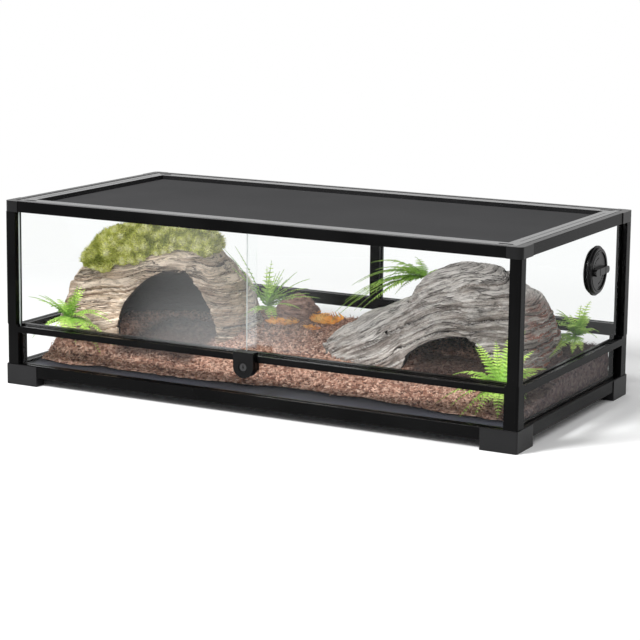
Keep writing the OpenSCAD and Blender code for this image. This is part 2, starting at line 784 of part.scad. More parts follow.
// A frond arches out from the crown and tapers, with leaflets cut along both edges.
// It has a heading, a length, a start slope and a sag.
function frond_point(crown, heading, length, rise, sag, t) =
    let (r = length * t, up = length * (rise * t - sag * t * t))
    crown + [r * cos(heading), r * sin(heading), up];
module frond(crown, heading, length, rise, sag, width) {
    steps = 11;
    thick = 0.9;
    loft([for (i = [0 : steps])
        let (
            t = i / steps,
            p = frond_point(crown, heading, length, rise, sag, t),
            w = max(0.7, width * (i % 2 == 0 ? 0.3 : 1) * sin(20 + 150 * pow(t, 0.8)) / 2),
            side = [-sin(heading), cos(heading), 0]
        ) [p - side * w, p + [0, 0, thick], p + side * w, p - [0, 0, thick]]]);
}

// Fronds are rows of [heading, length, rise, sag]; the crown is a short root stock
module fern(crown, foot, fronds, width) {
    color([0.35, 0.6, 0.15]) resize([0, 0, 0]) union() {
        translate([crown[0], crown[1], foot]) cylinder(h = crown[2] - foot + 2, r1 = 7, r2 = 4.5, $fn = 10);
        for (f = fronds) frond(crown, f[0], f[1], f[2], f[3], width);
    }
}

module fern_front_left() {
    fern([-388, -148, 104], panel_z + panel_t, [
        [218, 66, 1.0, 0.45], [-20, 26, 2.9, 0.7], [60, 30, 2.2, 0.7], [150, 46, 1.2, 0.7],
        [4, 82, 0.6, 0.62], [222, 62, 0.2, 0.75], [-24, 100, 0.15, 0.6], [-70, 44, 0.5, 1.1]
    ], 17);
}

module fern_centre() {
    fern([-118, 42, 118], 62, [
        [222, 75, 1.75, 0.38], [100, 25, 3.6, 0.6], [37, 30, 2.6, 0.47], [20, 52, 1.6, 0.42],
        [-5, 84, 0.9, 0.42], [8, 95, 0.6, 0.37], [235, 40, 0.25, 0.55], [-40, 44, 0.5, 0.8]
    ], 17);
}

module fern_on_rock() {
    fern([168, 62, 192], 130, [
        [184, 160, 0.1, 0.55], [176, 140, 0.35, 0.55], [170, 112, 0.6, 0.5], [160, 76, 0.5, 0.45],
        [190, 136, 0.15, 0.5], [197, 155, 0, 0.52], [30, 40, 0.9, 0.6]
    ], 18);
}

module fern_front_right() {
    fern([384, -124, 72], panel_z + panel_t, [
        [176, 82, 0.7, 0.6], [150, 62, 1.3, 0.4], [200, 96, 0.3, 0.6], [100, 88, 1.2, 0.3],
        [60, 62, 1.3, 0.5], [70, 110, 0.5, 0.4], [-15, 48, 0.7, 0.9], [-70, 56, 0.1, 0.7],
        [-130, 66, 0, 0.6]
    ], 19);
}

module fern_back_right() {
    fern([398, 150, 104], panel_z + panel_t, [
        [165, 44, 1.7, 1.0], [80, 40, 2.2, 0.9], [-80, 66, 1.0, 0.6], [-50, 38, 2.0, 0.8],
        [-130, 60, 0.4, 0.6], [-95, 96, 0.1, 0.3], [-150, 50, 1.3, 0.9], [50, 40, 1.0, 0.9]
    ], 17);
}

// Fallen leaves: curled blades on the bedding, each rolled so that its far edge stands up
module leaf(place, heading, roll, length, width, curl) {
    steps = 8;
    translate(place) rotate([roll, 0, heading]) loft([for (i = [0 : steps])
        let (
            t = i / steps, w = max(0.8, width / 2 * pow(sin(180 * clamp01(0.04 + 0.92 * t)), 0.7)),
            x = length * (t - 0.5), z = curl * pow(2 * t - 1, 2), lift = w * 0.45
        ) [[x, -w, z + lift], [x, 0, z + 0.8], [x, w, z + lift * 1.4], [x, 0, z - 1]]]);
}

module dry_leaves() {
    color([0.7, 0.4, 0.13]) {
        leaf([-112, 88, 81.6], 24, 34, 60, 34, 7);
        leaf([-46, 122, 88.2], 30, 48, 60, 42, 9);
        leaf([-50, 80, 80], -12, 16, 40, 22, 5);
    }
}

BARK = [
    [-158, 94, 134, 160], [-146, 112, 124, 180], [-124, 124, 120, 190], [-100, 116, 122, 188],
    [-86, 102, 130, 178], [-80, 88, 138, 164]
];
module bark_piece() {
    color([0.36, 0.24, 0.18]) resize([0, 0, 0]) difference() {
        rock_body(BARK, 70, 14, 12, 12, 0, 3);
        rock_body(inset(BARK, 7), 64, 8, 8, 12, 0, 0);
        translate([-120, 100, 60]) cylinder(h = 44, r = 20, $fn = 20);
    }
}

foot(CORNERS[0]);  // foot_front_left
foot(CORNERS[1]);  // foot_front_right
foot(CORNERS[2]);  // foot_back_left
foot(CORNERS[3]);  // foot_back_right
base_rail(FRONT);  // base_rail_front
base_rail(BACK);  // base_rail_back
base_rail(LEFT);  // base_rail_left
base_rail(RIGHT);  // base_rail_right
base_panel();
lower_post(CORNERS[0]);  // lower_post_front_left
lower_post(CORNERS[1]);  // lower_post_front_right
lower_post(CORNERS[2]);  // lower_post_back_left
lower_post(CORNERS[3]);  // lower_post_back_right
mid_rail_front();
mid_rail(BACK);  // mid_rail_back
mid_rail(LEFT);  // mid_rail_left
mid_rail(RIGHT);  // mid_rail_right
upper_post(CORNERS[0]);  // upper_post_front_left
upper_post(CORNERS[1]);  // upper_post_front_right
upper_post(CORNERS[2]);  // upper_post_back_left
upper_post(CORNERS[3]);  // upper_post_back_right
back_centre_post();
top_rail(FRONT);  // top_rail_front
top_rail(BACK);  // top_rail_back
top_rail(LEFT);  // top_rail_left
top_rail(RIGHT);  // top_rail_right
top_corner(CORNERS[0]);  // top_corner_front_left
top_corner(CORNERS[1]);  // top_corner_front_right
top_corner(CORNERS[2]);  // top_corner_back_left
top_corner(CORNERS[3]);  // top_corner_back_right
lower_glass(FRONT);  // lower_glass_front
lower_glass(BACK);  // lower_glass_back
lower_glass(LEFT);  // lower_glass_left
lower_glass(RIGHT);  // lower_glass_right
side_glass(LEFT);  // side_glass_left
side_glass(RIGHT);  // side_glass_right
back_glass(-1);  // back_glass_left
back_glass(1);  // back_glass_right
door_glass(-1);  // door_glass_left
door_glass(1);  // door_glass_right
screen_rail(FRONT);  // screen_rail_front
screen_rail(BACK);  // screen_rail_back
screen_rail(LEFT);  // screen_rail_left
screen_rail(RIGHT);  // screen_rail_right
screen_mesh();
vent_flange();
vent_inner_ring();
vent_dial();
lock_housing();
lock_back_plate();
lock_plug();
substrate();
rock_hide_left();
rock_hide_right();
moss_mat();
fern_front_left();
fern_centre();
fern_on_rock();
fern_front_right();
fern_back_right();
dry_leaves();
bark_piece();
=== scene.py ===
# %% [markdown]
# # A furnished reptile terrarium
#
# The tank is low and wide: black profiles with plastic corners hold glass panes, the front is two
# sliding doors, and the top is a woven screen. Its frame, glass, vent and lock come from the CAD
# model as they are. This script gives them their finishes, and then builds what CAD leaves plain:
# the screen's wires, the two rocks, the bedding, the moss, the ferns, the leaves and the bark.

# %% Load the frame
import json
import math
import random

import bpy
import numpy as np
from mathutils import Euler, Matrix, Vector, noise


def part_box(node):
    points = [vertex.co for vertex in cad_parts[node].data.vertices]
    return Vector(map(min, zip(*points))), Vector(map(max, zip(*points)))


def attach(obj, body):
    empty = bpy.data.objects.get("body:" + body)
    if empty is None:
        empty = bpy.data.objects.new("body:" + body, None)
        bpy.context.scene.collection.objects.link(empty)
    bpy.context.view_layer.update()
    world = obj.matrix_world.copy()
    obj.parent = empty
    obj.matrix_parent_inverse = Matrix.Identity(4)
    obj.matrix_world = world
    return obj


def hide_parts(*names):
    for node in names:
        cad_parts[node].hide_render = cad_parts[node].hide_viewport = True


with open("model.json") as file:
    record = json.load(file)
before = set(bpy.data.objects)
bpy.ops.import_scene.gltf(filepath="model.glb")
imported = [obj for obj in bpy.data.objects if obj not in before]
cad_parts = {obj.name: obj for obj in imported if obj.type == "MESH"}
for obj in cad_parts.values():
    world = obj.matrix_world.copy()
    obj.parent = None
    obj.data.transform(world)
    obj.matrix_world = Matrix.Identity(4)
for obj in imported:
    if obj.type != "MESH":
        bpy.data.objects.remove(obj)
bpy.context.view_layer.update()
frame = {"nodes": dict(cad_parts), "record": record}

NODES = frame["nodes"]
SLOT_OF = {part["node"]: part["material_slot"] for part in frame["record"]["subparts"]}

# %% [markdown]
# ## Camera
#
# The photograph was taken with a long lens from the front right, a little above the tank. A camera
# could be aimed by eye, but straight edges show every degree. These values were fitted so that
# the frame's corners land where they are in the picture.

# %% Camera
IMAGE_SIZE = 640
FOCAL_PIXELS = 2107
HORIZON_CENTRE = 256
CAMERA_PLACE = Vector((1.610, -2.985, 0.780))
CAMERA_YAW = -28.25
CAMERA_DOWN = 9.36
CAMERA_ROLL = 0.64


def make_camera():
    data = bpy.data.cameras.new("camera")
    data.sensor_width = 36
    data.lens = FOCAL_PIXELS * data.sensor_width / IMAGE_SIZE
    data.shift_y = (HORIZON_CENTRE - IMAGE_SIZE / 2) / IMAGE_SIZE
    data.clip_start = 0.05
    data.clip_end = 100
    camera = bpy.data.objects.new("camera", data)
    bpy.context.scene.collection.objects.link(camera)
    turn = Matrix.Rotation(math.radians(-CAMERA_YAW), 4, "Z")
    tilt = Matrix.Rotation(math.radians(90 - CAMERA_DOWN), 4, "X")
    roll = Matrix.Rotation(math.radians(CAMERA_ROLL), 4, "Z")
    camera.matrix_world = Matrix.Translation(CAMERA_PLACE) @ turn @ tilt @ roll
    bpy.context.scene.camera = camera
    return camera


camera = make_camera()
print("camera lens", round(camera.data.lens, 1), "mm, shift", camera.data.shift_y)

# %% [markdown]
# ## Writing a material as maths
#
# A pattern in a material is a chain of nodes, which is hard to read as a list of links. A small
# class can stand for one value in the chain and let Python's own signs add the nodes, so that a
# mask reads like a formula. Colours go through Mix nodes, because a Math node would turn them grey.


# %% Values and paints
class Value:
    """One output of a node. Adding or multiplying values adds the Math nodes."""

    def __init__(self, paint, socket):
        self.paint = paint
        self.socket = socket

    def __add__(self, other):
        return self.paint.maths("ADD", self, other)

    def __radd__(self, other):
        return self.paint.maths("ADD", other, self)

    def __sub__(self, other):
        return self.paint.maths("SUBTRACT", self, other)

    def __rsub__(self, other):
        return self.paint.maths("SUBTRACT", other, self)

    def __mul__(self, other):
        return self.paint.maths("MULTIPLY", self, other)

    def __rmul__(self, other):
        return self.paint.maths("MULTIPLY", other, self)


class Paint:
    """A material with one Principled shader, whose constants are set on its own sockets."""

    def __init__(self, name, **constants):
        self.material = bpy.data.materials.new(name)
        self.material.use_nodes = True
        self.tree = self.material.node_tree
        self.shader = self.tree.nodes["Principled BSDF"]
        for key, value in constants.items():
            self.set(key.replace("_", " ").title(), value)

    def feed(self, socket, value):
        if isinstance(value, Value):
            self.tree.links.new(value.socket, socket)
        elif socket.type == "RGBA" and len(value) == 3:
            socket.default_value = (*value, 1)
        else:
            socket.default_value = value

    def set(self, socket, value):
        self.feed(self.shader.inputs[socket], value)

    def node(self, kind, settings=None, inputs=None, output=0):
        made = self.tree.nodes.new("ShaderNode" + kind)
        for key, value in (settings or {}).items():
            if key == "stops":
                self.set_stops(made.color_ramp, value)
            else:
                setattr(made, key, value)
        for key, value in (inputs or {}).items():
            self.feed(made.inputs[key], value)
        return Value(self, made.outputs[output])

    def set_stops(self, ramp, stops):
        while len(ramp.elements) < len(stops):
            ramp.elements.new(0.5)
        for element, (place, colour) in zip(ramp.elements, stops):
            element.position = place
            element.color = (*colour, 1)

    def maths(self, operation, a, b):
        return self.node("Math", {"operation": operation}, {0: a, 1: b})

    def place(self):
        """Where a point of the piece is, in metres."""
        return self.node("TexCoord", output="Object")

    def stretched(self, scale, turn=(0, 0, 0)):
        inputs = {"Vector": self.place(), "Scale": scale, "Rotation": [math.radians(a) for a in turn]}
        return self.node("Mapping", {}, inputs)

    def noise(self, scale, detail=3, roughness=0.5, where=None):
        inputs = {"Vector": where or self.place(), "Scale": scale, "Detail": detail, "Roughness": roughness}
        return self.node("TexNoise", {}, inputs)

    def cells(self, scale, where=None, output="Distance"):
        return self.node("TexVoronoi", {}, {"Vector": where or self.place(), "Scale": scale}, output)

    def ramp(self, value, *stops):
        """A colour for each stop of a value."""
        return self.node("ValToRGB", {"stops": stops}, {"Fac": value})

    def between(self, value, low, high):
        """0 below low and 1 above high."""
        inputs = {"Value": value, "From Min": low, "From Max": high}
        return self.node("MapRange", {"clamp": True, "interpolation_type": "SMOOTHSTEP"}, inputs)

    def mix(self, share, a, b):
        inputs = {0: share, 6: a, 7: b}
        return self.node("Mix", {"data_type": "RGBA"}, inputs, 2)

    def bump(self, height, strength, depth):
        inputs = {"Height": height, "Strength": strength, "Distance": depth}
        self.set("Normal", self.node("Bump", {}, inputs))


print("paint tools ready")

# %% [markdown]
# ## Studio
#
# The picture is a packshot: white all round, with soft light from above and in front. A bright lamp
# could burn the floor white, but it would burn the object too. So the lamps stay plain, the
# background is fully white only to the camera, to reflections and to what is seen through the
# glass, and the floor fades to that white away from the tank, where its soft shadow ends.

# %% World and floor
WORLD_LIGHT = 0.55
FLOOR_REACH = 0.75
FLOOR_FADE = 1.35
FLOOR_RADIUS = 14
FLOOR_DROP = 0.0005
KEY_PLACE = (-0.9, -2.3, 2.3)
KEY_POWER = 125
KEY_SIZE = 0.9
FILL_PLACE = (1.2, -2.4, 1.6)
FILL_POWER = 24
FILL_SIZE = 1.4


def seen_directly(paint):
    """1 for rays from the camera, a reflection or glass, and 0 for rays that light things."""
    camera_ray = paint.node("LightPath", output="Is Camera Ray")
    glossy_ray = paint.node("LightPath", output="Is Glossy Ray")
    through_ray = paint.node("LightPath", output="Is Transmission Ray")
    return paint.maths("MAXIMUM", paint.maths("MAXIMUM", camera_ray, glossy_ray), through_ray)


def make_world():
    world = bpy.data.worlds.new("studio")
    world.use_nodes = True
    paint = Paint.__new__(Paint)
    paint.tree = world.node_tree
    background = world.node_tree.nodes["Background"]
    background.inputs["Color"].default_value = (1, 1, 1, 1)
    paint.feed(background.inputs["Strength"], WORLD_LIGHT + (1 - WORLD_LIGHT) * seen_directly(paint))
    bpy.context.scene.world = world


def make_floor():
    bpy.ops.object.select_all(action="DESELECT")
    bpy.ops.mesh.primitive_circle_add(
        vertices=96, radius=FLOOR_RADIUS, fill_type="NGON", location=(0, 0, -FLOOR_DROP)
    )
    floor = bpy.context.object
    floor.name = "floor"
    bpy.ops.object.transform_apply()
    paint = Paint("white floor", roughness=0.9, base_color=(0.93, 0.93, 0.93))
    white = paint.node("Emission", {}, {"Color": (1, 1, 1), "Strength": 1.0})
    away = paint.node("VectorMath", {"operation": "LENGTH"}, {0: paint.place()}, "Value")
    share = paint.between(away, FLOOR_REACH, FLOOR_FADE) * seen_directly(paint)
    blend = paint.node("MixShader", {}, {0: share, 1: Value(paint, paint.shader.outputs[0]), 2: white})
    paint.feed(paint.tree.nodes["Material Output"].inputs["Surface"], blend)
    floor.data.materials.append(paint.material)


def make_lamp(name, place, power, size):
    data = bpy.data.lights.new(name, "AREA")
    data.energy = power
    data.shape = "DISK"
    data.size = size
    lamp = bpy.data.objects.new(name, data)
    lamp.location = place
    lamp.rotation_euler = (-Vector(place)).to_track_quat("-Z", "Y").to_euler()
    bpy.context.scene.collection.objects.link(lamp)


make_world()
make_floor()
make_lamp("key", KEY_PLACE, KEY_POWER, KEY_SIZE)
make_lamp("fill", FILL_PLACE, FILL_POWER, FILL_SIZE)
bpy.context.scene.view_settings.view_transform = "Standard"
print("studio ready")

# %% [markdown]
# ## Finishes of the frame
#
# The profiles are powder coated: black, satin, with a grain so fine that it only softens the
# highlight. The plastic corners and feet are moulded, a little lighter and duller. One dark grey
# for all of them would lose where one piece ends and the next starts, so each has its own
# roughness and a faint change of tone.


# %% Frame materials
GRAIN_DEPTH = 0.00004
# Where the painted reflection lies across the doors.
PAINTED_REFLECTION_START = -0.20
PAINTED_REFLECTION_END = -0.02
PAINTED_REFLECTION_STOP = 0.16
MIRROR_SHARE = 0.30
EDGE_SHARE = 0.75


def grainy(name, colour, roughness, grain=2600, tone=0.25, gloss=0.05):
    """A dark, even finish with a fine grain and a slow change of tone."""
    paint = Paint(name)
    paint.set("Specular IOR Level", gloss)
    slow = paint.noise(9, 2)
    fine = paint.noise(grain, 2)
    light = tuple(min(1, c * (1 + tone) + 0.001) for c in colour)
    dark = tuple(c * (1 - tone) for c in colour)
    paint.set("Base Color", paint.mix(paint.between(slow, 0.3, 0.7), dark, light))
    paint.set("Roughness", roughness - 0.05 + 0.1 * fine)
    paint.bump(fine, 0.35, GRAIN_DEPTH)
    return paint.material


def clear_glass(name, film_share, painted_reflection_share=0.0):
    """A thin pane: light passes straight through, and Fresnel adds the reflection. The ground
    edge of the inner door is pale, and near the doors' middle the mirror share is raised: a painted
    reflection."""
    paint = Paint(name, roughness=0.02, metallic=1.0, base_color=(0.95, 0.97, 0.97))
    through = paint.node("BsdfTransparent", {}, {"Color": (0.994, 0.998, 0.997)})
    facing = paint.node("Fresnel", {}, {"IOR": 1.45})
    outer = 1 - paint.node("NewGeometry", output="Backfacing")
    film = paint.between(paint.noise(5, 3), 0.35, 0.8)
    share = (MIRROR_SHARE * facing + film_share * film) * outer
    # Painted reflection: near the doors' middle the mirror share is raised.
    if painted_reflection_share:
        across = paint.node("SeparateXYZ", {}, {"Vector": paint.place()}, "X")
        painted_reflection_mask = paint.between(across + 0.12 * paint.noise(4, 3), PAINTED_REFLECTION_START, PAINTED_REFLECTION_END)
        share = share + painted_reflection_share * painted_reflection_mask * paint.between(across, PAINTED_REFLECTION_STOP, PAINTED_REFLECTION_END)
    blend = paint.node("MixShader", {}, {0: share, 1: through, 2: Value(paint, paint.shader.outputs[0])})
    if painted_reflection_share:
        normal = paint.node("NewGeometry", output="True Normal")
        edge = paint.maths("ABSOLUTE", paint.node("SeparateXYZ", {}, {"Vector": normal}, "X"), 0)
        pale = paint.node("BsdfDiffuse", {}, {"Color": (0.80, 0.88, 0.86)})
        ground = paint.between(edge, 0.8, 0.95) * paint.between(across, 0.004, -0.004)
        blend = paint.node("MixShader", {}, {0: EDGE_SHARE * ground, 1: blend, 2: pale})
    paint.feed(paint.tree.nodes["Material Output"].inputs["Surface"], blend)
    return paint.material


FINISHES = {
    "frame": grainy("black powder coat", (0.0016, 0.0016, 0.0017), 0.24),
    "corner": grainy("moulded corner", (0.0050, 0.0050, 0.0053), 0.32, grain=1500, gloss=0.16),
    "foot": grainy("moulded foot", (0.0065, 0.0065, 0.0070), 0.38, grain=1500, gloss=0.2),
    "base_panel": grainy("dark floor panel", (0.034, 0.036, 0.048), 0.5, grain=900, gloss=0.1),
    "glass": clear_glass("clear pane", 0.003),
    "door_glass": clear_glass("clear door", 0.004, 0.06),
    "screen_frame": grainy("black screen rail", (0.010, 0.010, 0.0105), 0.22, gloss=0.5),
    "screen_mesh": grainy("dark wire", (0.040, 0.040, 0.041), 0.5, tone=0.02, gloss=0.02),
    "vent": grainy("moulded vent", (0.0040, 0.0040, 0.0042), 0.3, grain=1800, gloss=0.2),
    "lock": grainy("moulded lock", (0.0025, 0.0025, 0.0027), 0.3, grain=1800, gloss=0.1),
    "lock_plug": grainy("dark steel", (0.02, 0.02, 0.021), 0.3, gloss=0.3),
    "bedding": grainy("bedding", (0.12, 0.05, 0.03), 0.9),
    "tan_rock": grainy("tan rock", (0.25, 0.16, 0.10), 0.85),
    "grey_rock": grainy("grey rock", (0.20, 0.17, 0.15), 0.85),
    "moss": grainy("moss", (0.25, 0.30, 0.05), 0.9),
    "fern": grainy("fern", (0.08, 0.22, 0.02), 0.6),
    "dry_leaf": grainy("dry leaf", (0.45, 0.15, 0.03), 0.7),
    "bark": grainy("bark", (0.07, 0.035, 0.02), 0.85),
}

for name, node in NODES.items():
    node.data.materials.clear()
    node.data.materials.append(FINISHES[SLOT_OF[name]])
print("finishes:", len(FINISHES))

# %% [markdown]
# ## Tools for the furnishings
#
# A rock or a cushion of moss has to stay in the space of its CAD solid, so it starts as a copy of
# that solid. Its doubled points are merged, a voxel remesh gives it even small faces, and then every
# point is pushed in or out. What repeats, such as a chip or a leaflet, is modelled once, and
# its mesh is copied to many places.


# %% Helpers
def deselect():
    if bpy.context.object and bpy.context.object.mode != "OBJECT":
        bpy.ops.object.mode_set(mode="OBJECT")
    bpy.ops.object.select_all(action="DESELECT")


def pick(piece):
    deselect()
    piece.select_set(True)
    bpy.context.view_layer.objects.active = piece


def finish_piece(piece, body, slot, material, *nodes):
    """Puts the piece's place into its mesh, gives it its material, hangs it on its body and hides the CAD
    parts it replaces.
    """
    pick(piece)
    bpy.ops.object.transform_apply(location=True, rotation=True, scale=True)
    piece.data.materials.clear()
    piece.data.materials.append(material)
    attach(piece, body)
    if nodes:
        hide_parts(*nodes)
    print(piece.name, len(piece.data.polygons), "faces")
    return piece


def copy_of(node, name, voxel):
    """A copy of a CAD solid with merged points and even faces."""
    piece = bpy.data.objects.new(name, NODES[node].data.copy())
    bpy.context.scene.collection.objects.link(piece)
    pick(piece)
    bpy.ops.object.mode_set(mode="EDIT")
    bpy.ops.mesh.select_all(action="SELECT")
    bpy.ops.mesh.remove_doubles(threshold=0.00002)
    bpy.ops.mesh.normals_make_consistent(inside=False)
    bpy.ops.object.mode_set(mode="OBJECT")
    modifier = piece.modifiers.new("remesh", "REMESH")
    modifier.mode = "VOXEL"
    modifier.voxel_size = voxel
    bpy.ops.object.modifier_apply(modifier=modifier.name)
    return piece


def points_of(piece):
    count = len(piece.data.vertices)
    places = np.empty(count * 3)
    normals = np.empty(count * 3)
    piece.data.vertices.foreach_get("co", places)
    piece.data.vertices.foreach_get("normal", normals)
    return places.reshape(-1, 3), normals.reshape(-1, 3)


def sculpt(piece, push):
    """Moves each point along its normal by push(place, normal). That also returns two values for
    the paint, kept as the attributes depth (how deep in a crack) and level (which layer)."""
    places, normals = points_of(piece)
    moved = np.array([push(Vector(place), Vector(normal)) for place, normal in zip(places, normals)])
    piece.data.vertices.foreach_set("co", (places + normals * moved[:, :1]).ravel())
    for column, name in ((1, "depth"), (2, "level")):
        kept = piece.data.attributes.new(name, "FLOAT", "POINT")
        kept.data.foreach_set("value", moved[:, column].astype(np.float32))
    piece.data.update()


def copies(model, matrices, name):
    """One new piece with a copy of the model's mesh at each matrix."""
    count = len(model.data.vertices)
    places = np.ones((count, 4))
    places[:, :3] = points_of(model)[0]
    faces = [list(face.vertices) for face in model.data.polygons]
    stack = np.array([np.array(matrix) for matrix in matrices])
    moved = np.einsum("nij,vj->nvi", stack, places)[:, :, :3].reshape(-1, 3)
    every = [[index + k * count for index in face] for k in range(len(matrices)) for face in faces]
    mesh = bpy.data.meshes.new(name)
    mesh.from_pydata(moved.tolist(), [], every)
    piece = bpy.data.objects.new(name, mesh)
    bpy.context.scene.collection.objects.link(piece)
    return piece


def matrix_of(place, x_axis, y_axis, z_axis, size=(1, 1, 1)):
    """A matrix that puts a model at a place along three given axes."""
    columns = Matrix((x_axis, y_axis, z_axis)).transposed().to_4x4()
    return Matrix.Translation(place) @ columns @ Matrix.Diagonal((*size, 1))


def drop(model):
    bpy.data.objects.remove(model)


def spots_on(piece, count, seed, keep=lambda normal, place: normal.z > 0.3):
    """Random points on the faces that keep says yes to, larger faces taking more."""
    draw = np.random.default_rng(seed)
    faces = [face for face in piece.data.polygons if keep(face.normal, face.center)]
    areas = np.array([face.area for face in faces])
    chosen = draw.choice(len(faces), count, p=areas / areas.sum())
    spots = []
    for index, (a, b) in zip(chosen, draw.random((count, 2))):
        corners = [piece.data.vertices[v].co for v in faces[index].vertices][:3]
        if a + b > 1:
            a, b = 1 - a, 1 - b
        spots.append((corners[0] + (corners[1] - corners[0]) * a + (corners[2] - corners[0]) * b,
                      faces[index].normal.copy()))
    return spots


print("shape tools ready")

# %% [markdown]
# ## Woven screen
#
# The screen is a cloth of fine coated wires. A flat sheet with a pattern on it would shut out the
# light from above and look like card from close by. So one wire is modelled and repeated both ways,
# thin enough to see through from above and closed to the eye from the side, as the real one is.

# %% Screen wires
WIRE_PITCH = 0.0016
WIRE_THICK = 0.00052
WIRE_INSET = 0.0005


def make_wires():
    low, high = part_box("screen_mesh")
    middle = (low + high) / 2
    half = (high - low) / 2
    groups = []
    for axis, across, lift in ((0, 1, 1), (1, 0, -1)):
        deselect()
        bpy.ops.mesh.primitive_cylinder_add(
            vertices=4, radius=WIRE_THICK / 2, depth=2 * (half[axis] - WIRE_INSET),
            end_fill_type="NOTHING", location=middle
        )
        wire = bpy.context.object
        bpy.ops.transform.rotate(
            value=math.radians(90), orient_axis="Y" if axis == 0 else "X", center_override=tuple(middle)
        )
        bpy.ops.object.transform_apply()
        count = int(2 * half[across] / WIRE_PITCH)
        start = -count / 2 * WIRE_PITCH
        step = Vector((0, 0, 0))
        matrices = []
        for k in range(count + 1):
            step[across] = start + k * WIRE_PITCH
            matrices.append(Matrix.Translation(step + Vector((0, 0, lift * WIRE_THICK * 0.3))))
        groups.append(copies(wire, matrices, "wires_" + "xy"[axis]))
        drop(wire)
    pick(groups[0])
    groups[1].select_set(True)
    bpy.ops.object.join()
    groups[0].name = "woven_screen"
    return finish_piece(groups[0], "screen", "screen_mesh", FINISHES["screen_mesh"], "screen_mesh")


make_wires()

# %% [markdown]
# ## Rocks
#
# Both hides are cast to look like split, layered rock. Noise alone would make them look like clay.
# So each point asks which layer it is in: every layer stands out by its own amount, and the joint
# under it is cut in as a dark crack. A slower wave bends the layers, and a tilt lets them slope.


# %% Rock shapes
THICK_BED = 0.0165
THIN_BED = 0.0058
ROCK_VOXEL = 0.0022


def bent_level(place, crest, left_slope, right_slope):
    """Height across the layers, which rise to a crest and fall away from it."""
    off = place.x - crest
    soft = math.sqrt(off * off + 0.0016)
    lean = (left_slope + right_slope) / 2 * off + (right_slope - left_slope) / 2 * soft
    return place.z - lean - 0.1 * place.y


def bed(place, level, thickness, wander, seed):
    """How far the layer at a level stands out, where in it the level is, and how open its joint is."""
    count = math.floor(level / thickness)
    within = level / thickness - count
    spread = Vector((place.x, place.y, 0)) * wander
    stands = noise.noise(spread + Vector((0, 0, 7.31 * count)) + seed)
    opens = noise.noise(spread * 0.8 + Vector((0, 0, 3.17 * count)) - seed)
    joint = max(0, 1 - within / 0.28) * min(1, max(0, 0.25 + 2.2 * opens))
    return stands, within, joint


def crag(place, level, seed):
    """How far layered rock stands out at a place, how deep in a crack it is, and its layer."""
    level += 0.011 * noise.noise(place * 8 + seed) + 0.0045 * noise.noise(place * 26 + seed)
    thick_out, thick_within, thick_joint = bed(place, level, THICK_BED, 7, seed)
    thin_out, thin_within, thin_joint = bed(place, level, THIN_BED, 15, seed)
    rough = noise.noise(place * 120) + 0.5 * noise.noise(place * 280)
    out = 0.0050 * thick_out + 0.0024 * thin_out + 0.0020 * (thick_within - 0.5) + 0.0007 * rough
    out -= 0.0062 * thick_joint + 0.0026 * thin_joint
    return out, min(1, thick_joint + 0.45 * thin_joint), level


def make_rock(node, name, body_line, seed, material, slot):
    seed = Vector(seed)
    piece = copy_of(node, name, ROCK_VOXEL)
    low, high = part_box(node)
    middle = (low + high) / 2

    def push(place, normal):
        outward = (place.y - middle.y) * normal.y + (place.z - low.z - 0.02) * normal.z
        outward += 0.5 * (place.x - middle.x) * normal.x
        out, crack, level = crag(place, bent_level(place, *body_line), seed)
        upright = 1 - 0.5 * abs(normal.z) ** 2
        grounded = min(1, max(0, (place.z - low.z) / 0.01))
        inner = outward < 0
        return (out * upright * (0.35 if inner else 1) - 0.0006) * grounded, crack + 2 * inner, level

    sculpt(piece, push)
    pick(piece)
    bpy.ops.object.shade_smooth_by_angle(angle=math.radians(30))
    return finish_piece(piece, "tank", slot, material, node)


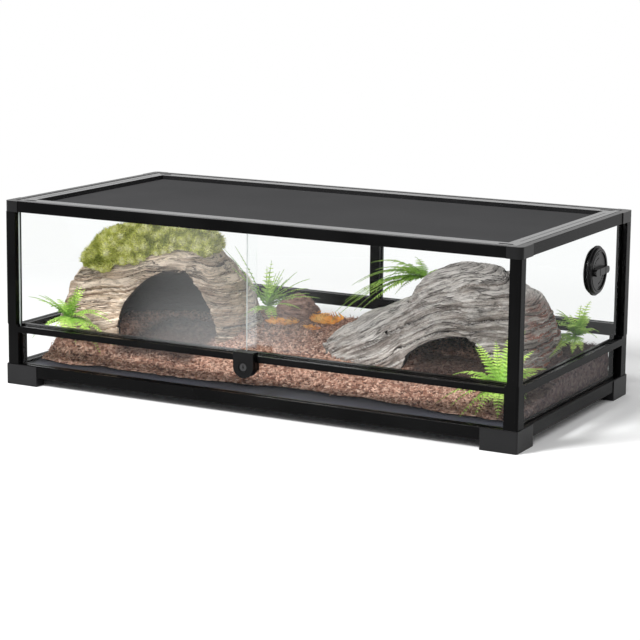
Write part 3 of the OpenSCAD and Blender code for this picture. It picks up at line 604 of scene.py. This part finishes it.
def rock_paint(name, dark, body, pale, tint, crumbs=None):
    """Tones and fine cracks that follow the sculpted layers, a painted highlight on faces that look up, and
    painted shade in the joints and the cave's inside.
    """
    paint = Paint(name, roughness=0.85)
    paint.set("Specular IOR Level", 0.2)
    kept = paint.node("Attribute", {"attribute_name": "depth"}, {}, "Fac")
    level = paint.node("Attribute", {"attribute_name": "level"}, {}, "Fac")
    x, y = (paint.node("SeparateXYZ", {}, {"Vector": paint.place()}, axis) for axis in "XY")

    def layered(detail, along, across):
        where = paint.node("CombineXYZ", {}, {"X": x * along, "Y": y * along, "Z": level * across})
        return paint.noise(1, detail, 0.62, where)

    def near_middle(value, width):
        return 1 - paint.between(paint.maths("ABSOLUTE", value - 0.5, 0), 0, width)

    bands = layered(5, 7, 90)
    lines = layered(4, 15, 310)
    crack = near_middle(layered(4, 9, 120), 0.030) * paint.between(paint.noise(16, 2), 0.36, 0.56)
    hair = near_middle(layered(3, 22, 260), 0.045)
    speck = paint.noise(420, 3, 0.7)
    blotch = paint.noise(13, 4, 0.6)
    inner = paint.between(kept, 1.2, 1.6)
    deep = paint.between(kept, 0.15, 0.85)
    up = paint.node("SeparateXYZ", {}, {"Vector": paint.node("NewGeometry", output="Normal")}, "Z")
    colour = paint.ramp(0.5 * bands + 0.35 * lines + 0.22 * speck, (0.40, dark), (0.53, body), (0.68, pale))
    colour = paint.mix(0.55 * paint.between(blotch, 0.46, 0.66), colour, tint)
    # Painted highlight: faces that look up are made paler.
    colour = paint.mix(0.60 * paint.between(up, 0.10, 0.75), colour, pale)
    if crumbs:
        at_end = paint.between(x + 0.05 * blotch, CRUMBS_FROM, CRUMBS_TO) * paint.between(up, 0.1, 0.5)
        colour = paint.mix(at_end * paint.between(paint.cells(190), 0.1, 0.3), colour, crumbs)
    black = tuple(c * 0.18 for c in dark)
    colour = paint.mix(paint.maths("MAXIMUM", 0.85 * crack, 0.42 * hair), colour, black)
    # Painted shade: the sculpted joints and the cave's inside go near black.
    colour = paint.mix(0.92 * deep, colour, black)
    # Painted shade: the cave's inside goes darker still.
    paint.set("Base Color", paint.mix(inner, colour, tuple(0.12 * c for c in dark)))
    paint.set("Roughness", 0.76 + 0.18 * speck)
    paint.bump(0.5 * bands + 0.5 * lines + 0.15 * speck - 0.5 * crack - 0.22 * hair, 0.9, 0.0042)
    return paint.material


CRUMBS_FROM = 0.375
CRUMBS_TO = 0.41
TAN_ROCK = rock_paint(
    "layered tan rock",
    dark=(0.26, 0.170, 0.112),
    body=(0.62, 0.470, 0.350),
    pale=(0.92, 0.79, 0.66),
    tint=(0.46, 0.37, 0.28),
)
GREY_ROCK = rock_paint(
    "layered grey rock",
    dark=(0.13, 0.110, 0.098),
    body=(0.42, 0.380, 0.350),
    pale=(0.86, 0.82, 0.78),
    tint=(0.30, 0.245, 0.205),
    crumbs=(0.30, 0.13, 0.09),
)
make_rock("rock_hide_left", "left_rock", (-0.235, 0.20, -0.55), (3.1, 7.7, 1.3), TAN_ROCK, "tan_rock")
make_rock("rock_hide_right", "right_rock", (0.235, 0.55, 0.05), (8.2, 2.4, 6.6), GREY_ROCK, "grey_rock")

# %% [markdown]
# ## Bedding
#
# The floor is loose shredded husk: thin curled chips, reddish brown, no two alike in tone. A bumpy
# sheet has no chips at its edge, and chips alone would need far too many. So there is both: a
# lumpy base in the chips' colours, darker as painted shade, and one curled chip copied thousands
# of times on top, lighter as painted light.


# %% Bedding and chips
HUSK_TONES = ((0.095, 0.042, 0.030), (0.44, 0.225, 0.155), (0.86, 0.60, 0.47))
SHADE_FROM = 0.33
SHADE_TO = 0.42
SHADED_CAVE_FLOORS = ((-0.252, 0.085, -0.130, 0.05), (0.262, 0.088, -0.085, 0.02))
BEDDING_VOXEL = 0.0042
CHIP_COUNT = 22000


def lifted(tones, lift):
    """The same tones, lighter or darker by one factor."""
    return [tuple(part * lift for part in tone) for tone in tones]


def husk_paint(name, lift):
    """Browns that change from chip to chip, with painted shade at the right end and inside the caves."""
    paint = Paint(name, roughness=0.82)
    paint.set("Specular IOR Level", 0.2)
    chip = paint.cells(260, output="Color")
    parts = paint.node("SeparateColor", {}, {"Color": chip}, "Red")
    slow = paint.noise(14, 3)
    dark, body, pale = lifted(HUSK_TONES, lift)
    colour = paint.ramp(0.8 * parts + 0.25 * slow, (0.12, dark), (0.48, body), (0.90, pale))
    x, y = (paint.node("SeparateXYZ", {}, {"Vector": paint.place()}, axis) for axis in "XY")
    # Painted shade: the right end of the bedding goes dark blue-grey.
    right_end_shade = paint.between(x + 0.35 * y + 0.06 * slow, SHADE_FROM, SHADE_TO)
    colour = paint.mix(0.80 * right_end_shade, colour, (0.040, 0.040, 0.052))
    # Painted shade on the bedding inside the two caves, under the rocks' roofs.
    for middle_x, reach, from_y, to_y in SHADED_CAVE_FLOORS:
        off = paint.maths("ABSOLUTE", x - middle_x, 0)
        cave_shade = paint.between(off, reach, reach - 0.025)
        cave_shade = cave_shade * paint.between(y + 0.02 * slow, from_y, from_y + 0.05)
        cave_shade = cave_shade * paint.between(y, to_y + 0.02, to_y)
        colour = paint.mix(0.85 * cave_shade, colour, (0.020, 0.014, 0.014))
    paint.set("Base Color", colour)
    paint.bump(paint.noise(700, 3, 0.7) + parts, 0.6, 0.0015)
    return paint.material


def make_chip():
    """A flat strip that curls up at both ends."""
    deselect()
    bpy.ops.mesh.primitive_grid_add(x_subdivisions=4, y_subdivisions=1, size=1)
    chip = bpy.context.object
    for vertex in chip.data.vertices:
        x, y, _ = vertex.co
        vertex.co = (x, y * (1 - 2.2 * x * x) + 0.9 * x * x, 1.1 * x * x + 0.35 * y * y)
    return chip


def make_bedding():
    base = copy_of("substrate", "bedding", BEDDING_VOXEL)
    low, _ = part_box("substrate")

    def push(place, normal):
        above = min(1, max(0, (place.z - low.z - 0.001) / 0.003))
        lumps = 0.0022 * noise.noise(place * 60) + 0.0014 * noise.noise(place * 170)
        return lumps * above, 0, 0

    sculpt(base, push)
    chip = make_chip()
    draw = random.Random(41)
    matrices = []
    for place, normal in spots_on(base, CHIP_COUNT, 17):
        turn = Euler((draw.uniform(-0.5, 0.5), draw.uniform(-0.5, 0.5), draw.uniform(0, 2 * math.pi)))
        length = draw.uniform(0.006, 0.016)
        size = (length, draw.uniform(0.0006, 0.0017), length * draw.uniform(0.1, 0.5))
        spot = place + Vector((0, 0, draw.uniform(-0.0004, 0.0020)))
        turned = Matrix.Translation(spot) @ turn.to_matrix().to_4x4()
        matrices.append(turned @ Matrix.Diagonal((*size, 1)))
    chips = copies(chip, matrices, "husk_chips")
    drop(chip)
    # Painted shade and light: the base under the chips is darker, the chips on top lighter.
    finish_piece(base, "tank", "bedding", husk_paint("husk ground", 0.8), "substrate")
    finish_piece(chips, "tank", "bedding", husk_paint("husk chips", 1.2))


make_bedding()

# %% [markdown]
# ## Moss
#
# Moss is a dense pile of tiny upright blades on a soft, lumpy cushion. Hair would be lost in the
# export, so the cushion is sculpted, and one bent blade is copied over it along its normals.


# %% Moss
MOSS_TONES = ((0.34, 0.38, 0.05), (0.78, 0.80, 0.22), (0.98, 0.98, 0.58))
MOSS_VOXEL = 0.003
BLADE_COUNT = 15000


def moss_paint(name, lift):
    paint = Paint(name, roughness=0.85)
    paint.set("Specular IOR Level", 0.15)
    clump = 1.15 - 1.1 * paint.cells(62)
    fine = paint.noise(320, 3, 0.7)
    dark, body, pale = lifted(MOSS_TONES, lift)
    colour = paint.ramp(0.6 * clump + 0.45 * fine, (0.40, dark), (0.60, body), (0.80, pale))
    paint.set("Base Color", colour)
    paint.bump(fine + clump, 0.8, 0.004)
    return paint.material


def make_blade():
    """A narrow blade that tapers to its tip and bends over."""
    deselect()
    bpy.ops.mesh.primitive_grid_add(x_subdivisions=1, y_subdivisions=3, size=1)
    blade = bpy.context.object
    for vertex in blade.data.vertices:
        x, y, _ = vertex.co
        up = y + 0.5
        vertex.co = (x * (1 - 0.85 * up), 0.45 * up * up, up)
    return blade


def make_moss():
    base = copy_of("moss_mat", "moss_cushion", MOSS_VOXEL)

    def push(place, normal):
        lobes = 0.0095 * noise.noise(place * 30) + 0.0055 * noise.noise(place * 66)
        return lobes + 0.0026 * noise.noise(place * 150), 0, 0

    sculpt(base, push)
    blade = make_blade()
    draw = random.Random(7)
    matrices = []
    for place, normal in spots_on(base, BLADE_COUNT, 23, lambda normal, place: normal.z > -0.2):
        lean = Vector((draw.gauss(0, 0.38), draw.gauss(0, 0.38), 0.25 + draw.gauss(0, 0.2)))
        up = (normal + lean).normalized()
        side = up.cross(Vector((draw.uniform(-1, 1), draw.uniform(-1, 1), draw.uniform(-1, 1)))).normalized()
        size = (draw.uniform(0.0010, 0.0019), draw.uniform(0.002, 0.006), draw.uniform(0.003, 0.0082))
        matrices.append(matrix_of(place, side, up.cross(side), up, size))
    blades = copies(blade, matrices, "moss_blades")
    drop(blade)
    # Painted shade and light: the cushion under the blades is darker, the blades lighter.
    finish_piece(base, "tank", "moss", moss_paint("moss cushion", 0.7), "moss_mat")
    finish_piece(blades, "tank", "moss", moss_paint("moss blades", 1.1))


make_moss()

# %% [markdown]
# ## Ferns
#
# Each fern is a crown with fronds that rise and arch over. A frond is a thin midrib with two rows
# of side branches that shorten towards the tip, and each branch has its own small lobes. A frond
# cut out of a sheet would look like paper, so one lobed branch is modelled, and the rows are built
# from it along the same arcs as the CAD fronds, with more fronds between them.


# %% Ferns
def fern_paint():
    paint = Paint("fern green", roughness=0.5)
    paint.set("Specular IOR Level", 0.35)
    slow = paint.noise(24, 3)
    fine = paint.noise(260, 2)
    along = paint.node("Attribute", {"attribute_name": "tip"}, {}, "Fac")
    young = paint.between(0.75 * along + 0.35 * slow, 0.25, 0.85)
    colour = paint.mix(young, (0.20, 0.42, 0.040), (0.66, 0.86, 0.20))
    colour = paint.mix(0.35 * paint.between(fine, 0.5, 0.7), colour, (0.42, 0.64, 0.09))
    paint.set("Base Color", colour)
    paint.bump(fine, 0.4, 0.0006)
    return paint.material


FERN_GREEN = fern_paint()
LOBES = 6
LEAFLET_PITCH = 0.0042
FROND_WIDTHS = (1, 0.9, 0.85, 0.8)
FERN_ROOM = (0.006, 0.006, 0.004)
STEM_RADIUS = 0.0007


def make_leaflet():
    """One side branch of a frond, one unit long along Y: two rows of lobes that shorten to its tip."""
    deselect()
    bpy.ops.mesh.primitive_grid_add(x_subdivisions=2, y_subdivisions=2 * LOBES, size=1)
    leaflet = bpy.context.object
    for vertex in leaflet.data.vertices:
        x, y, _ = vertex.co
        along = y + 0.5
        lobe = 1.0 if round(along * 2 * LOBES) % 2 else 0.30
        wide = 0.36 * (1 - along) ** 0.75 * min(1, 0.55 + 4 * along) * lobe + 0.02
        forward = abs(2 * x) * wide * 0.55
        vertex.co = (2 * x * wide, along + forward, 0.10 * abs(2 * x) * wide - 0.20 * along * along)
    return leaflet


def frond_line(crown, heading, length, rise, sag, share):
    reach = length * share
    up = length * (rise * share - sag * share * share)
    turn = math.radians(heading)
    return crown + Vector((reach * math.cos(turn), reach * math.sin(turn), up))


def frond_matrices(crown, heading, length, rise, sag, wide, draw):
    """Where the leaflets of one frond go, with how near its tip each is, and the midrib's points."""
    pairs = max(9, int(length / LEAFLET_PITCH))
    found, rib = [], []
    for k in range(pairs + 1):
        share = 0.06 + 0.94 * k / pairs
        here = frond_line(crown, heading, length, rise, sag, share)
        ahead = (frond_line(crown, heading, length, rise, sag, share + 0.01) - here).normalized()
        side = ahead.cross(Vector((0, 0, 1))).normalized()
        over = side.cross(ahead).normalized()
        rib.append(here)
        blade = wide * (1.12 * (1 - share) ** 0.75 * min(1, 0.45 + 2.2 * share) + 0.10)
        size = (blade * 0.75, blade, blade)
        for s in (-1, 1):
            out = (side * s + ahead * 0.38 + over * draw.uniform(-0.15, 0.25)).normalized()
            cross = out.cross(over).normalized()
            found.append((matrix_of(here, cross, out, cross.cross(out), size), share))
    return found, rib


def within(place, low, high):
    """Whether a place is in a box, or no further out of it than the leaflets may reach."""
    return all(low[i] - FERN_ROOM[i] < place[i] < high[i] + FERN_ROOM[i] for i in range(3))


def make_fern(node, name, crown, fronds, wide, seed):
    """A fern in its CAD solid's space. A frond is [heading, length, rise, sag], with more beside it."""
    draw = random.Random(seed)
    crown = Vector(crown)
    leaflet = make_leaflet()
    every = []
    ribs = []
    for heading, length, rise, sag in fronds:
        for extra in range(len(FROND_WIDTHS)):
            turns = (0, draw.uniform(10, 26), -draw.uniform(10, 26), draw.uniform(-40, 40))
            lengths = (1, draw.uniform(0.66, 0.9), draw.uniform(0.6, 0.85), draw.uniform(0.45, 0.65))
            rises = (1, draw.uniform(0.9, 1.3), draw.uniform(0.75, 1.1), draw.uniform(0.9, 1.5))
            found, rib = frond_matrices(
                crown, heading + turns[extra], length * lengths[extra], rise * rises[extra], sag,
                wide * FROND_WIDTHS[extra], draw
            )
            every += found
            ribs.append(rib)
    low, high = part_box(node)
    kept = [(matrix, share) for matrix, share in every if within(matrix.translation, low, high)]
    piece = copies(leaflet, [matrix for matrix, share in kept], name)
    shares = np.array([share for matrix, share in kept], dtype=np.float32)
    tips = piece.data.attributes.new("tip", "FLOAT", "POINT")
    tips.data.foreach_set("value", np.repeat(shares, len(leaflet.data.vertices)))
    drop(leaflet)
    stems = make_ribs(ribs, name + "_stems")
    finish_piece(stems, "tank", "fern", FERN_GREEN)
    return finish_piece(piece, "tank", "fern", FERN_GREEN, node)


def make_ribs(lines, name):
    """The midribs: one curve with round thickness along each line, turned into a mesh."""
    curve = bpy.data.curves.new(name, "CURVE")
    curve.dimensions = "3D"
    curve.bevel_depth = STEM_RADIUS
    curve.bevel_resolution = 0
    for line in lines:
        spline = curve.splines.new("POLY")
        spline.points.add(len(line) - 1)
        for k, (point, place) in enumerate(zip(spline.points, line)):
            point.co = (*place, 1)
            point.radius = 1.2 - 0.8 * k / len(line)
    stems = bpy.data.objects.new(name, curve)
    bpy.context.scene.collection.objects.link(stems)
    pick(stems)
    bpy.ops.object.convert(target="MESH")
    return bpy.context.object


make_fern("fern_front_left", "fern_left_front", (-0.388, -0.148, 0.104), [
    (218, 0.066, 1.0, 0.45), (-20, 0.026, 2.9, 0.7), (60, 0.030, 2.2, 0.7), (150, 0.046, 1.2, 0.7),
    (4, 0.082, 0.6, 0.62), (222, 0.062, 0.2, 0.75), (-24, 0.100, 0.15, 0.6), (-70, 0.044, 0.5, 1.1),
], 0.0125, 1)
make_fern("fern_centre", "fern_middle", (-0.118, 0.042, 0.118), [
    (222, 0.075, 1.75, 0.38), (100, 0.025, 3.6, 0.6), (37, 0.030, 2.6, 0.47), (20, 0.052, 1.6, 0.42),
    (-5, 0.084, 0.9, 0.42), (8, 0.095, 0.6, 0.37), (235, 0.040, 0.25, 0.55), (-40, 0.044, 0.5, 0.8),
], 0.0125, 2)
make_fern("fern_on_rock", "fern_by_rock", (0.168, 0.062, 0.192), [
    (184, 0.160, 0.1, 0.55), (176, 0.140, 0.35, 0.55), (170, 0.112, 0.6, 0.5), (160, 0.076, 0.5, 0.45),
    (190, 0.136, 0.15, 0.5), (197, 0.155, 0.0, 0.52), (30, 0.040, 0.9, 0.6),
], 0.0135, 3)
make_fern("fern_front_right", "fern_right_front", (0.384, -0.124, 0.072), [
    (176, 0.082, 0.7, 0.6), (150, 0.062, 1.3, 0.4), (200, 0.096, 0.3, 0.6), (100, 0.088, 1.2, 0.3),
    (60, 0.062, 1.3, 0.5), (70, 0.110, 0.5, 0.4), (-15, 0.048, 0.7, 0.9), (-70, 0.056, 0.1, 0.7),
    (-130, 0.066, 0.0, 0.6),
], 0.014, 4)
make_fern("fern_back_right", "fern_right_back", (0.398, 0.150, 0.104), [
    (165, 0.044, 1.7, 1.0), (80, 0.040, 2.2, 0.9), (-80, 0.066, 1.0, 0.6), (-50, 0.038, 2.0, 0.8),
    (-130, 0.060, 0.4, 0.6), (-95, 0.096, 0.1, 0.3), (-150, 0.050, 1.3, 0.9), (50, 0.040, 1.0, 0.9),
], 0.0125, 5)

# %% [markdown]
# ## Leaves and bark
#
# The fallen leaves are dry and orange, and stand up at one side. The bark is a rough lump with dark
# furrows. A flat cut-out would show no edge or shade. So both start as copies of their CAD solids,
# whose curl is already right, and noise gives them their small form, their blotches and streaks.


# %% Leaves and bark
LEAF_TONES = ((0.42, 0.13, 0.03), (0.88, 0.38, 0.07), (0.98, 0.62, 0.20))
BARK_TONES = ((0.070, 0.038, 0.030), (0.30, 0.175, 0.135), (0.58, 0.40, 0.33))
LEAF_VOXEL = 0.0013
BARK_VOXEL = 0.002


def leaf_paint():
    paint = Paint("dry leaf", roughness=0.55)
    paint.set("Specular IOR Level", 0.3)
    blotch = paint.noise(45, 4, 0.6)
    vein = paint.noise(3, 2, 0.5, paint.stretched((30, 200, 60), (0, 0, 35)))
    colour = paint.ramp(blotch, *zip((0.32, 0.5, 0.7), LEAF_TONES))
    colour = paint.mix(0.5 * paint.between(vein, 0.52, 0.62), colour, (0.20, 0.06, 0.015))
    paint.set("Base Color", colour)
    paint.bump(vein + blotch, 0.5, 0.0012)
    return paint.material


def bark_paint():
    paint = Paint("rough bark", roughness=0.8)
    paint.set("Specular IOR Level", 0.2)
    furrow = paint.noise(3, 6, 0.7, paint.stretched((14, 30, 70)))
    paint.set("Base Color", paint.ramp(furrow, *zip((0.35, 0.52, 0.72), BARK_TONES)))
    paint.bump(furrow, 0.9, 0.003)
    return paint.material


def make_leaves():
    piece = copy_of("dry_leaves", "fallen_leaves", LEAF_VOXEL)
    sculpt(piece, lambda place, normal: (0.0012 * noise.noise(place * 70) * normal.z, 0, 0))
    pick(piece)
    bpy.ops.object.shade_smooth()
    finish_piece(piece, "tank", "dry_leaf", leaf_paint(), "dry_leaves")


def make_bark():
    piece = copy_of("bark_piece", "bark_lump", BARK_VOXEL)

    def push(place, normal):
        furrow = noise.noise(Vector((place.x * 40, place.y * 60, place.z * 110)))
        return 0.003 * furrow + 0.001 * noise.noise(place * 220), 0, 0

    sculpt(piece, push)
    finish_piece(piece, "tank", "bark", bark_paint(), "bark_piece")


make_leaves()
make_bark()
